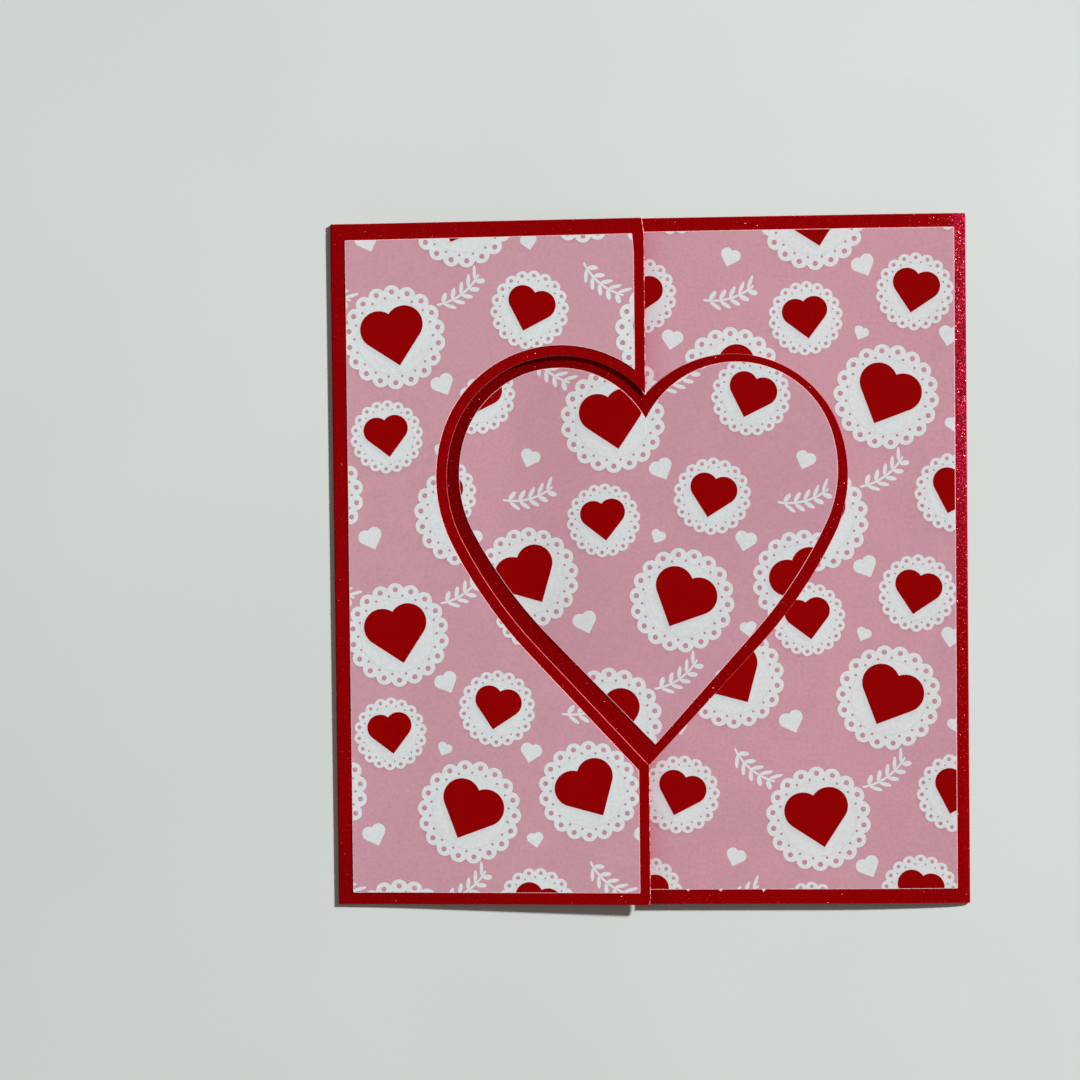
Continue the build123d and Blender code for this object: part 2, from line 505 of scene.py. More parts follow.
# Scalloped round with two rings of eyelets and an embossed line round its heart
def roundStamp():
    tree, given = stampTree("roundStamp", ["Paper", "Heart", "Line", "Shade", "Heart Shade"])
    x, y, _ = axes(tree, given["Place"])
    radius = reach(tree, x, y)
    angle = calc(tree, "ARCTAN2", y, x)
    step = 2 * pi / roundDesign["scallops"]

    def ringReach(ring, size, shift=0.0):
        local = calc(tree, "WRAP", calc(tree, "ADD", angle, shift), step / 2, -step / 2)
        along = minus(tree, times(tree, radius, calc(tree, "COSINE", local)), ring)
        across = times(tree, radius, calc(tree, "SINE", local))
        return minus(tree, reach(tree, along, across), size)

    def innerHeart(place):
        size = roundDesign["heart"]
        middle = vectorCalc(tree, "SUBTRACT", place, roundDesign["heartMiddle"])
        return times(tree, heartReach(tree, scaled(tree, middle, 1 / size)), size)

    body = minus(tree, radius, roundDesign["body"])
    body = calc(tree, "MINIMUM", ringReach(*roundDesign["scallopRing"]), body)
    inner = ringReach(*roundDesign["innerRing"], step / 2)
    eyelets = calc(tree, "MINIMUM", ringReach(*roundDesign["eyeletRing"]), inner)
    paper = calc(tree, "MAXIMUM", body, times(tree, eyelets, -1.0))
    crease = calc(tree, "ABSOLUTE", minus(tree, radius, roundDesign["line"]))
    shade = minus(tree, reach(tree, *axes(tree, given["Shade Place"])[:2]), roundDesign["shade"])
    addNode(tree, "NodeGroupOutput", {0: paper, 1: innerHeart(given["Place"]), 2: crease, 3: shade,
                                      4: innerHeart(given["Shade Place"])})
    return tree


# Five pairs of leaves that lean forward on a thin stem
def sprigStamp():
    tree, given = stampTree("sprigStamp", ["Reach"])
    x, y, _ = axes(tree, given["Place"])
    side = calc(tree, "ABSOLUTE", minus(tree, y, times(tree, x, x, sprigDesign["bend"])))
    ends = minus(tree, calc(tree, "ABSOLUTE", x), 1.0)
    stem = calc(tree, "MAXIMUM", minus(tree, side, sprigDesign["stem"]), ends)
    lean = minus(tree, x, times(tree, side, sprigDesign["leafLean"]))
    halfPitch = sprigDesign["leafPitch"] / 2
    length, width = sprigDesign["leafSize"]
    along = calc(tree, "DIVIDE", calc(tree, "WRAP", lean, halfPitch, -halfPitch), length)
    across = calc(tree, "DIVIDE", minus(tree, side, sprigDesign["leafOut"]), width)
    leaf = times(tree, minus(tree, reach(tree, along, across), 1.0), sprigDesign["leafScale"])
    past = minus(tree, calc(tree, "ABSOLUTE", lean), sprigDesign["leavesEnd"])
    leaf = calc(tree, "MAXIMUM", leaf, past)
    addNode(tree, "NodeGroupOutput", {0: calc(tree, "MINIMUM", stem, leaf)})
    return tree


def printTree():
    tree, given = newTree("printedRepeat", "ShaderNodeTree", {"Vector": ["Place"]}, {"Color": ["Color"]})
    where = given[0]
    shifted = vectorCalc(tree, "SUBTRACT", where, printDesign["shadowShift"])
    stamps = {"round": roundStamp(), "heart": heartStamp(), "sprig": sprigStamp()}

    def stamp(kind, x, y, radius, turn, shaded=False):
        inputs = {"Place": stampPlace(tree, where, (x, y), radius, turn)}
        if shaded:
            inputs["Shade Place"] = stampPlace(tree, shifted, (x, y), radius, turn)
        return addNode(tree, "ShaderNodeGroup", inputs, node_tree=stamps[kind]).outputs

    # 1 inside a shape and 0 outside it, soft over a few hundredths of a millimetre
    def inked(distance, radius, bleed=printDesign["inkBleed"]):
        return calc(tree, "MULTIPLY_ADD", distance, -radius / bleed, 0.5, clamp=True)

    def most(masks):
        total = masks[0]
        for mask in masks[1:]:
            total = calc(tree, "MAXIMUM", total, mask)
        return total

    white, red, lines, shade, heartShade = [], [], [], [], []
    for x, y, radius, turn in printDesign["rounds"]:
        out = stamp("round", x, y, radius, turn, shaded=True)
        white.append(inked(out["Paper"], radius))
        red.append(inked(out["Heart"], radius))
        crease = minus(tree, out["Line"], printDesign["creaseWidth"])
        lines.append(inked(crease, radius, printDesign["creaseBleed"]))
        shade.append(inked(out["Shade"], radius, printDesign["shadowReach"]))
        heartShade.append(inked(out["Heart Shade"], radius, printDesign["shadowReach"]))
    for kind, places in (("heart", "smallHearts"), ("sprig", "sprigs")):
        for x, y, radius, turn in printDesign[places]:
            white.append(inked(stamp(kind, x, y, radius, turn)["Reach"], radius))
    shadow = times(tree, most(shade), printDesign["shadowShare"])
    colour = mixColour(tree, shadow, printDesign["groundColour"], printDesign["shadeColour"])
    paper = most(white)
    colour = mixColour(tree, paper, colour, printDesign["whiteColour"])
    creased = calc(tree, "MAXIMUM", most(lines), most(heartShade))
    creased = times(tree, paper, creased, printDesign["creaseShare"])
    colour = mixColour(tree, creased, colour, printDesign["creaseColour"])
    colour = mixColour(tree, most(red), colour, printDesign["redColour"])
    addNode(tree, "NodeGroupOutput", {0: colour})
    return tree


paperFinish = {
    "grainScale": 1300.0,
    "mottleScale": 120.0,
    "grain": 0.05,
    "mottle": 0.02,
    "bumpScale": 3800.0,
    "bumpHeight": 0.006,  # mm
    "roughness": 0.7,
    "specular": 0.012,
}


sagPaintedLight = {"along": (-12.0, 4.0), "most": 1.075}  # painted light: the heart print's sagging free half is painted a little brighter
seamPaintedShade = {"reach": 8.0, "least": (0.92, 0.71, 0.77)}  # painted shade and painted red bounce light: mm from the seam over which the right print is painted deeper


# Painted light on the heart print's free half
def paintedSagLight(tree, where):
    return fade(tree, axes(tree, where)[0], sagPaintedLight["along"], sagPaintedLight["most"], 1.0)


# Painted shade and red bounce light on the right print beside the seam
def paintedSeamShade(tree, where):
    seam = cutEdges["seamX"]
    near = fade(tree, axes(tree, where)[0], (seam, seam + seamPaintedShade["reach"]), 1.0, 0.0)
    return mixColour(tree, times(tree, near, near), (1.0, 1.0, 1.0), seamPaintedShade["least"])


def printedFace(name, repeat, shift, turn, tint, shade=None):
    material, tree, shader, where = newMaterial(name)
    inputs = {"Vector": where, "Location": (*shift, 0.0), "Rotation": (0, 0, radians(turn)),
              "Scale": (1 / mm, 1 / mm, 1 / mm)}
    laid = outOf(tree, "ShaderNodeMapping", inputs)
    inked = outOf(tree, "ShaderNodeGroup", {0: laid}, node_tree=repeat)
    inked = vectorCalc(tree, "MULTIPLY", inked, tint)
    # A shade from prints paints the seam's shade or the heart's light onto the print
    if shade:
        inked = vectorCalc(tree, "MULTIPLY", inked, shade(tree, where))
    # The print's grain and mottle, with the painted shade near the right fold
    grain = wander(tree, where, paperFinish["grainScale"], paperFinish["grain"])
    mottle = wander(tree, where, paperFinish["mottleScale"], paperFinish["mottle"])
    fibre = noise(tree, where, paperFinish["bumpScale"], detail=3.0)
    bump = {"Height": fibre, "Distance": paperFinish["bumpHeight"] * mm}
    setInputs(tree, shader, {
        "Base Color": scaled(tree, inked, times(tree, grain, mottle, paintedShadeByFold(tree, where))),
        "Normal": outOf(tree, "ShaderNodeBump", bump),
        "Roughness": paperFinish["roughness"],
        "Specular IOR Level": paperFinish["specular"]})
    return material


cutEdges = {
    # rim width, rim drop and roughness in millimetres
    "card": (0.10, 0.09, 0.035),
    "paper": (0.100, 0.006, 0.025),
    "grain": 2400.0,
    "wear": 0.6,  # share of drop and roughness on the card's edges other than its free one
    "fromRim": 0.25,  # the share of the rim from which a face counts as cut
    "strands": (0.42, 0.68),  # noise over which the fibres go from deep to pale
    "specular": 0.2,
    "seamX": -0.40,
}

fibres = {
    "cardCut": {"deep": (0.25, 0.003, 0.006), "pale": (0.60, 0.12, 0.12), "scale": 4300.0,
                "roughness": 0.8, "seamPale": (0.85, 0.42, 0.42)},
    "paperCut": {"deep": (0.90, 0.47, 0.50), "pale": (0.97, 0.74, 0.73), "scale": 4200.0, "roughness": 0.8},
    "paperBack": {"deep": (0.66, 0.65, 0.64), "pale": (0.72, 0.71, 0.70), "scale": 900.0, "roughness": 0.75},
}

# Where on the repeat each paper was cut, in mm and degrees, and how its colours are tinted; the right print
# carries painted shade by the seam, the heart print painted light on its free half
prints = {
    "leftPrint": {"shift": (9.0, 31.0), "turn": 0.0, "tint": (1.040, 1.055, 1.055)},
    "rightPrint": {"shift": (40.0, 4.0), "turn": 0.0, "tint": (0.995, 0.975, 0.980), "shade": paintedSeamShade},
    "heartPrint": {"shift": (23.0, 52.0), "turn": 1.1, "tint": (0.960, 0.950, 0.955), "shade": paintedSagLight},
}

repeat = printTree()
materials = {
    "redPearl": redPearl("redPearl", redStock["cardColour"], redStock["foldColour"], foldShare),
    "redMat": redPearl("redMat", redStock["matColour"], redStock["matShadedColour"], shadedFreeHalf),
}
for name, look in fibres.items():
    materials[name] = cutFibre(name, **look)
for name, look in prints.items():
    materials[name] = printedFace(name, repeat, **look)
print("materials are mixed")


# Sheet paths: where the middle of each folded sheet runs, in millimetres, seen from the card's bottom edge

card = {
    "stock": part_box("heart_mat")[0].z / mm,  # the mat's edge lies on the back panel, one stock up
    "paper": (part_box("heart_paper")[1].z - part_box("heart_mat")[1].z) / mm,
    "width": (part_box("card_base")[1].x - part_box("card_base")[0].x) / mm,
    "height": (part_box("card_base")[1].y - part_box("card_base")[0].y) / mm,
    "foldInnerRadius": 0.06,
    "seamX": cutEdges["seamX"],
    "flapLap": 1.0,
    "leftStartTilt": 0.4,  # degrees
    "leftLiftLength": 22.0,
    "leftFreeTilt": 1.6,
    "rightStartTilt": 8.0,
    "rightRoll": (3.0, 6.0),  # length and turn
    "rightEaseLength": 30.0,
    "sagBend": (14.0, 3.2),
    "restLength": 30.0,
    "longestStep": 1.6,
    "turnStep": 9.0,  # degrees
}


# From a place, along runs of a length and a turn, to the points on the way and the last place
def walk(place, runs):
    x, z, heading = place
    points = [(x, z)]
    for length, turn in runs:
        steps = max(ceil(length / card["longestStep"]), ceil(abs(turn) / card["turnStep"]))
        half = radians(turn / steps) / 2
        chord = length / steps * (sin(half) / half if half else 1.0)
        for _ in range(steps):
            x += chord * cos(radians(heading) + half)
            z += chord * sin(radians(heading) + half)
            heading += turn / steps
            points.append((x, z))
    return np.array(points), (x, z, heading)


def cardPaths():
    half = card["stock"] / 2
    foldRadius = card["foldInnerRadius"] + half
    backRun = (card["width"] / 2 - foldRadius - half, 0.0)
    backMiddle = (0.0, half, 0.0)

    # The run round a fold, to a flap that starts at a tilt
    def foldRun(tilt):
        return foldRadius * radians(180 - tilt), 180 - tilt

    rightRoll = card["rightRoll"]
    rightEase = (card["rightEaseLength"], card["rightStartTilt"] - rightRoll[1])
    toFlap, flapStart = walk(backMiddle, [backRun, foldRun(card["rightStartTilt"])])
    curve, levelStart = walk(flapStart, [rightRoll, rightEase])
    toSeam = (levelStart[0] - card["seamX"] + card["flapLap"], 0.0)
    level, _ = walk(levelStart, [toSeam])
    rightHalf = np.vstack([toFlap, curve[1:], level[1:]])

    lift = (card["leftLiftLength"], card["leftStartTilt"] - card["leftFreeTilt"])
    start, slopeStart = walk(backMiddle, [backRun, foldRun(card["leftStartTilt"]), lift])
    slopeLength = (slopeStart[0] + card["seamX"]) / cos(radians(card["leftFreeTilt"]))
    slope, _ = walk(slopeStart, [(slopeLength, 0.0)])
    leftHalf = np.vstack([start, slope[1:]]) * (-1, 1)

    # The heart follows the right flap, then sags over the gap and lands on the back panel
    sagLength, sagAngle = card["sagBend"]
    sagRadius = sagLength / radians(sagAngle)
    drop = levelStart[1] + half + card["paper"] - card["stock"]
    slopeDown = (drop - 2 * sagRadius * (1 - cos(radians(sagAngle)))) / sin(radians(sagAngle))
    heartRuns = [rightRoll, rightEase, toSeam, (sagLength, sagAngle), (slopeDown, 0.0),
                 (sagLength, -sagAngle), (card["restLength"], 0.0)]
    heartPath, _ = walk(flapStart, heartRuns)
    return np.vstack([leftHalf[::-1], rightHalf[1:]]), heartPath


# Distance along a path to each of its points
def stations(path):
    return np.concatenate([[0.0], np.cumsum(np.linalg.norm(np.diff(path, axis=0), axis=1))])


# Distance along the path where its flap, which runs towards -X, passes over x
def stationOver(path, x, flapCount):
    along = stations(path)[:flapCount]
    return np.interp(-np.asarray(x), -path[:flapCount, 0], along)


def pathObject(name, path):
    curve = bpy.data.curves.new(name, "CURVE")
    curve.dimensions = "3D"
    spline = curve.splines.new("POLY")
    spline.points.add(len(path) - 1)
    for point, (x, z) in zip(spline.points, path):
        point.co = (x * mm, 0, z * mm, 1)
    return link(bpy.data.objects.new(name, curve))


# Outlines, seen from above

heart = {
    "lobeRadius": 27.2,
    "lobeCentre": (20.65, 22.6),
    "hipRadius": 33.6,
    "hipAngle": 16.7,
    "sideRadius": 112.5,
    "sideAngle": -26.6,
    "tailAngle": -42.9,
    "step": 0.35,  # mm between points
}


def polar(centre, radius, angle):
    return centre + radius * np.array([cos(radians(angle)), sin(radians(angle))])


def arc(centre, radius, start, end):
    count = ceil(radius * radians(abs(end - start)) / heart["step"])
    return [polar(centre, radius, angle) for angle in np.linspace(start, end, count + 1)[:-1]]


def line(start, end, step=heart["step"]):
    count = max(1, ceil(np.linalg.norm(np.subtract(end, start)) / step))
    return [np.add(start, np.subtract(end, start) * share) for share in np.linspace(0, 1, count + 1)[:-1]]


# A line through corners, each of them blunted by a small bend. The last point is left to what follows.
def bluntLine(corners, size):
    points, last = [], np.array(corners[0], float)
    for corner, after in zip(corners[1:-1], corners[2:]):
        into = corner + size * (last - corner) / np.linalg.norm(last - corner)
        onward = np.subtract(after, corner)
        out = corner + size * onward / np.linalg.norm(onward)
        points += line(last, into)
        for t in (0, 0.25, 0.5, 0.75):
            points.append((1 - t) ** 2 * into + 2 * t * (1 - t) * np.array(corner) + t ** 2 * out)
        last = out
    return points + line(last, corners[-1])


# Right half of the heart from its notch round to its tip, about x 0. grow moves the outline outward.
def heartHalf(grow=0.0, spread=0.0):
    lobeRadius, hipRadius, sideRadius = (heart[part + "Radius"] for part in ("lobe", "hip", "side"))
    hipAngle, sideAngle, tailAngle = (heart[part + "Angle"] for part in ("hip", "side", "tail"))
    lobeCentre = np.add(heart["lobeCentre"], (spread, 0))
    hipCentre = polar(lobeCentre, lobeRadius - hipRadius, hipAngle)
    sideCentre = polar(hipCentre, hipRadius - sideRadius, sideAngle)
    lobe = lobeRadius + grow
    notch = np.array([0, lobeCentre[1] + sqrt(lobe ** 2 - lobeCentre[0] ** 2)])
    notchAngle = np.degrees(np.arctan2(*(notch - lobeCentre)[::-1]))
    tail = polar(sideCentre, sideRadius + grow, tailAngle)
    tip = np.array([0, tail[1] - tail[0] / np.tan(radians(-tailAngle))])
    points = arc(lobeCentre, lobe, notchAngle, hipAngle)
    points += arc(hipCentre, hipRadius + grow, hipAngle, sideAngle)
    points += arc(sideCentre, sideRadius + grow, sideAngle, tailAngle)
    points += line(tail, tip) + [tip]
    return np.array(points)


def wholeHeart(grow=0.0, spread=0.0):
    half = heartHalf(grow, spread)
    other = half[1:-1][::-1] * (-1, 1)
    return np.vstack([half, other]) + (card["seamX"], 0)


# Left half of the heart, as the window and the border round it run
def windowSide(grow=0.0):
    return heartHalf(grow) * (-1, 1) + (card["seamX"], 0)


# Flat sheets: stations along the path by heights up the card, in millimetres

meshing = {
    "rowPitch": 2.4,
    "edgeStep": 0.35,
    "clearOfEdge": 0.30,
    "smoothBelow": 28.0,  # degrees between faces, above which their edge is crisp
}


def insideOf(points, outline):
    x, y = points[:, 0], points[:, 1]
    found = np.zeros(len(points), bool)
    for (x1, y1), (x2, y2) in zip(outline, np.roll(outline, -1, axis=0)):
        if y1 != y2:
            crossing = (y1 > y) != (y2 > y)
            found ^= crossing & (x < (x2 - x1) * (y - y1) / (y2 - y1) + x1)
    return found


# wornEnd is how far the worn free edge reaches along the path; other edges are cut cleaner
def flatSheet(name, outline, columns, rimWidth, wornEnd=None):
    outline = np.asarray(outline, float)
    rows = np.arange(outline[:, 1].min(), outline[:, 1].max(), meshing["rowPitch"])
    grid = np.array([(x, y) for x in columns for y in rows])
    grid = grid[insideOf(grid, outline)]
    near = kdtree.KDTree(len(outline))
    for index, (x, y) in enumerate(outline):
        near.insert((x, y, 0), index)
    near.balance()
    grid = [p for p in grid if near.find((p[0], p[1], 0))[2] > meshing["clearOfEdge"]]
    corners = [Vector(p) for p in outline] + [Vector(p) for p in grid]
    loop = [(i, (i + 1) % len(outline)) for i in range(len(outline))]
    points, _, faces = geometry.delaunay_2d_cdt(corners, loop, [], 1, 1e-6)[:3]
    sheet = bmesh.new()
    made = [sheet.verts.new((p.x * mm, p.y * mm, 0)) for p in points]
    for face in faces:
        sheet.faces.new([made[i] for i in face])
    rim = sheet.verts.layers.float.new("rim")
    bmesh.ops.recalc_face_normals(sheet, faces=sheet.faces)
    if sum(face.normal.z for face in sheet.faces) < 0:
        bmesh.ops.reverse_faces(sheet, faces=sheet.faces)
    bmesh.ops.inset_region(sheet, faces=sheet.faces, use_boundary=True, use_even_offset=True,
                           thickness=rimWidth * mm)
    for vertex in sheet.verts:
        clean = wornEnd is not None and vertex.co.x > wornEnd * mm
        vertex[rim] = float(vertex.is_boundary) * (cutEdges["wear"] if clean else 1.0)
    mesh = bpy.data.meshes.new(name)
    sheet.to_mesh(mesh)
    sheet.free()
    return link(bpy.data.objects.new(name, mesh))


# Points along a straight edge at y, dense between the columns so that none of them is missed
def straightEdge(columns, y):
    points = []
    for start, end in zip(columns[:-1], columns[1:]):
        points += line((start, y), (end, y), meshing["edgeStep"])
    return points


# Geometry Nodes: gives a flat sheet its thickness and ragged cut edge, and lays it along its path
def foldTree():
    tree, given = newTree("foldSheet", "GeometryNodeTree", {
        "Geometry": ["Sheet"],
        "Object": ["Path"],
        "Float": ["Stock", "Lift", "Edge Drop", "Edge Rough", "Edge Grain"],
        "Material": ["Face", "Cut Edge", "Under"]}, {"Geometry": ["Piece"]})
    rim = addNode(tree, "GeometryNodeInputNamedAttribute", {"Name": "rim"}, data_type="FLOAT")
    rim = rim.outputs["Attribute"]
    where = outOf(tree, "GeometryNodeInputPosition")

    def finished(part, finish, **chosen):
        inputs = {"Geometry": part, "Material": given[finish]}
        return outOf(tree, "GeometryNodeSetMaterial", {**inputs, **chosen})

    grain = addNode(tree, "ShaderNodeTexNoise", {"Vector": where, "Scale": given["Edge Grain"]})
    push = vectorCalc(tree, "SUBTRACT", grain.outputs["Color"], (0.5, 0.5, 0.5))
    push = vectorCalc(tree, "MULTIPLY", push, (2, 2, 0))
    push = scaled(tree, push, times(tree, given["Edge Rough"], rim))
    ragged = outOf(tree, "GeometryNodeSetPosition", {"Geometry": given["Sheet"], "Offset": push})

    raised = {"Mesh": ragged, "Offset": (0, 0, 1), "Offset Scale": given["Stock"], "Individual": False}
    raised = finished(outOf(tree, "GeometryNodeExtrudeMesh", raised), "Face")
    base = finished(outOf(tree, "GeometryNodeFlipFaces", {0: ragged}), "Under")
    slab = addNode(tree, "GeometryNodeJoinGeometry", {0: raised})
    tree.links.new(base, slab.inputs[0])
    slab = {"Geometry": slab.outputs[0], "Distance": 1e-6}
    slab = outOf(tree, "GeometryNodeMergeByDistance", slab)

    x, y, z = axes(tree, where)
    top = calc(tree, "GREATER_THAN", z, times(tree, given["Stock"], 0.5))
    drop = times(tree, top, rim, given["Edge Drop"])
    height = calc(tree, "ADD", minus(tree, z, drop), given["Lift"])
    path = addNode(tree, "GeometryNodeObjectInfo", {"Object": given["Path"]}).outputs["Geometry"]
    path = addNode(tree, "GeometryNodeSampleCurve", {"Curves": path, "Length": x}, mode="LENGTH").outputs
    outward = vectorCalc(tree, "CROSS_PRODUCT", (0, 1, 0), path["Tangent"])
    outward = scaled(tree, vectorCalc(tree, "NORMALIZE", outward), height)
    place = vectorCalc(tree, "ADD", path["Position"], outOf(tree, "ShaderNodeCombineXYZ", {1: y}))
    place = vectorCalc(tree, "ADD", place, outward)
    laid = outOf(tree, "GeometryNodeSetPosition", {"Geometry": slab, "Position": place})
    for kind in ("GeometryNodeFlipFaces", "GeometryNodeRealizeInstances"):
        laid = outOf(tree, kind, {0: laid})
    laid = finished(laid, "Cut Edge", Selection=calc(tree, "GREATER_THAN", rim, cutEdges["fromRim"]))
    addNode(tree, "NodeGroupOutput", {0: laid})
    return tree


# Runs a tree on an object and leaves the result as its plain mesh
def runNodes(host, tree, values):
    modifier = host.modifiers.new(tree.name, "NODES")
    modifier.node_group = tree
    for item in tree.interface.items_tree:
        if item.in_out == "INPUT" and item.name in values:
            modifier[item.identifier] = values[item.name]
    evaluated = host.evaluated_get(bpy.context.evaluated_depsgraph_get())
    mesh = bpy.data.meshes.new_from_object(evaluated)
    host.modifiers.remove(modifier)
    host.data = mesh
    return host


# The faces stay smooth up to their cut edges, which are crisp however little they drop
def sharpenCuts(mesh):
    sheet = bmesh.new()
    sheet.from_mesh(mesh)
    for face in sheet.faces:
        face.smooth = True
    for edge in sheet.edges:
        sides = edge.link_faces
        oneFinish = len({face.material_index for face in sides}) == 1
        gentle = len(sides) == 2 and edge.calc_face_angle() < radians(meshing["smoothBelow"])
        edge.smooth = oneFinish and gentle
    sheet.to_mesh(mesh)
    sheet.free()


fold = foldTree()
cardPath, heartPath = cardPaths()
pathObjects = {"card": pathObject("cardPath", cardPath), "heart": pathObject("heartPath", heartPath)}
flapCount = int(np.argmin(cardPath[:, 0]))  # points of the card's path that lie on its left flap
stockTop = card["stock"] / 2  # mm above the middle of the flap
paperTop = stockTop + card["paper"]


def layPiece(name, node, outline, path, lift, cut, face, under, wornEnd=None):
    stock = card["stock"] if cut == "card" else card["paper"]
    rimWidth, rimDrop, rough = cutEdges[cut]
    along = stations(cardPath if path == "card" else heartPath)
    outline = np.asarray(outline)
    columns = along[(along > outline[:, 0].min()) & (along < outline[:, 0].max())]
    piece = flatSheet(name, outline, columns, rimWidth, wornEnd)
    piece = runNodes(piece, fold, {
        "Path": pathObjects[path], "Stock": stock * mm, "Lift": lift * mm,
        "Edge Drop": rimDrop * mm, "Edge Rough": rough * mm, "Edge Grain": cutEdges["grain"],
        "Face": materials[face], "Cut Edge": materials[cut + "Cut"], "Under": materials[under]})
    sharpenCuts(piece.data)
    piece.data.attributes.remove(piece.data.attributes["rim"])
    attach(piece, "root")
    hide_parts(node)
    print(f"{name}: {len(piece.data.polygons)} faces")
    return piece


def overCard(points):
    points = np.asarray(points, float)
    return np.column_stack([stationOver(cardPath, points[:, 0], flapCount), points[:, 1]])


def overHeart(points):
    points = np.asarray(points, float)
    return np.column_stack([stationOver(heartPath, points[:, 0], len(heartPath)), points[:, 1]])


# How far the left flap's free edge is trimmed in at its ends, and over what length
flapCorners = {"topIn": 0.50, "topLength": 3.6, "bottomIn": 0.40, "bottomLength": 1.3}
wornPast = 0.8  # mm, how far the free edge's wear runs on past its corners
foldEnds = {"topLeft": 0.45, "others": 0.15}  # mm, to which the folds' ends are pressed round


def pressedRound(points):
    points = np.array(points)
    x = np.interp(points[:, 0], stations(cardPath), cardPath[:, 0])
    radius = np.where((x < 0) & (points[:, 1] > 0), foldEnds["topLeft"], foldEnds["others"])
    past = np.clip(np.abs(x) - card["width"] / 2 + radius, 0, radius)
    points[:, 1] -= np.sign(points[:, 1]) * (radius - np.sqrt(radius ** 2 - past ** 2))
    return list(points)


# The folded card: one strip, with the left half of the heart cut from its first edge
def makeCard():
    top = card["height"] / 2 - cutEdges["card"][2] / 2
    bottom = -top
    along = stations(cardPath)
    window = windowSide()
    edgeX = card["seamX"]
    topCorner = (edgeX - flapCorners["topIn"], top)
    bottomCorner = (edgeX - flapCorners["bottomIn"], bottom)
    topStart, bottomStart = overCard([topCorner, bottomCorner])[:, 0]
    outline = pressedRound(straightEdge(np.r_[bottomStart, along[along > bottomStart]], bottom))
    outline += line((along[-1], bottom), (along[-1], top), meshing["edgeStep"])
    outline += pressedRound(straightEdge(np.r_[topStart, along[along > topStart]][::-1], top))
    aboveCorner = (edgeX, bottom + flapCorners["bottomLength"])
    belowCorner = (edgeX, top - flapCorners["topLength"])
    cutEdge = line(topCorner, belowCorner) + line(belowCorner, window[0]) + list(window[:-1])
    cutEdge += line(window[-1], aboveCorner) + line(aboveCorner, bottomCorner)
    outline += list(overCard(cutEdge))
    wornEnd = overCard([aboveCorner])[0, 0] + wornPast
    return layPiece("foldedCard", "card_base", outline, "card", -stockTop,
                    "card", "redPearl", "redPearl", wornEnd)


leftPaper = {"left": -72.6, "right": card["seamX"] - 2.5, "top": 78.55, "topRise": 0.25, "bottom": -79.65,
             "windowBorder": 2.6}
rightPaper = {"left": card["seamX"] - card["flapLap"], "right": 73.4, "rightIn": 0.3,
              "top": 79.25, "bottom": -78.95}
paperCorner = 0.3  # mm taken by each blunt corner
seamCorner = {"in": 0.32, "length": 4.5}  # the left paper's worn corner at the top of the seam


# Where the trimmer tore a paper's lower edge, a bit of its pale core stands out. Each bit has its place along
# X, width, height, turn in degrees and how far its middle lies past the edge.
tornBits = {
    "left": [(-58.9, 1.9, 0.42, 24, -0.42)],
    "right": [(8.6, 1.1, 0.65, 0, 0.12), (16.4, 1.2, 0.75, 8, 0.12), (26.7, 1.1, 1.05, -10, 0.12)],
    "heights": (-0.06, 0.012),  # mm above the paper's face
    "ragged": (1.0, 0.5, 0.85, 0.55, 0.9, 0.45, 1.0, 0.6),  # reach of each corner, as a share
}


def addTornBits(piece, bits, edge, path):
    sheet = bmesh.new()
    sheet.from_mesh(piece.data)
    cut = piece.data.materials.find("paperCut")
    middle = np.zeros(2)
    count = len(tornBits["ragged"])
    for x, width, height, turn, past in bits:
        z = np.interp(-x, -path[:, 0], path[:, 1]) + paperTop
        corners = [polar(middle, share / 2, 360 * i / count) * (width, height)
                   for i, share in enumerate(tornBits["ragged"])]
        along, up = polar(middle, 1.0, turn)
        corners = [(a * along - b * up, a * up + b * along) for a, b in corners]
        rings = []
        for level in tornBits["heights"]:
            places = [Vector((x + a, edge - past + b, z + level)) * mm for a, b in corners]
            rings.append([sheet.verts.new(place) for place in places])
        low, high = rings
        faces = [sheet.faces.new(high), sheet.faces.new(low[::-1])]
        for i, corner in enumerate(low):
            after = (i + 1) % count
            faces.append(sheet.faces.new((corner, low[after], high[after], high[i])))
        for face in faces:
            face.material_index = cut
    sheet.to_mesh(piece.data)
    sheet.free()


# Where the line from one point to another passes x
def crossing(start, end, x):
    return start + (start[0] - x) / (start[0] - end[0]) * (end - start)


def makeLeftPaper():
    left, right, top, bottom = (leftPaper[side] for side in ("left", "right", "top", "bottom"))
    border = windowSide(leftPaper["windowBorder"])
    # The border leaves out what lies right of the paper's edge, and starts and ends exactly on it
    kept = border[border[:, 0] < right]
    first = np.argmax(border[:, 0] < right)
    last = first + len(kept) - 1
    upper = crossing(border[first - 1], border[first], right)
    lower = crossing(border[last], border[last + 1], right)
    seamTop = top + leftPaper["topRise"]
    corners = [upper, (right, seamTop - seamCorner["length"]), (right - seamCorner["in"], seamTop),
               (left, top), (left, bottom), (right, bottom), lower]
    outline = bluntLine(corners, paperCorner) + [lower] + list(kept[::-1])
    piece = layPiece("leftPaper", "left_flap_paper", overCard(outline), "card", stockTop,
                     "paper", "leftPrint", "paperBack")
    addTornBits(piece, tornBits["left"], bottom, cardPath[:flapCount])
    return piece


def makeRightPaper():
    left, right, top, bottom = (rightPaper[side] for side in ("left", "right", "top", "bottom"))
    foot = (right - rightPaper["rightIn"], bottom)
    outline = bluntLine([(left, top), (left, bottom), foot, (right, top), (left, top)], paperCorner)
    piece = layPiece("rightPaper", "right_flap_paper", overHeart(outline), "heart", stockTop,
                     "paper", "rightPrint", "paperBack")
    addTornBits(piece, tornBits["right"], bottom, heartPath)
    return piece


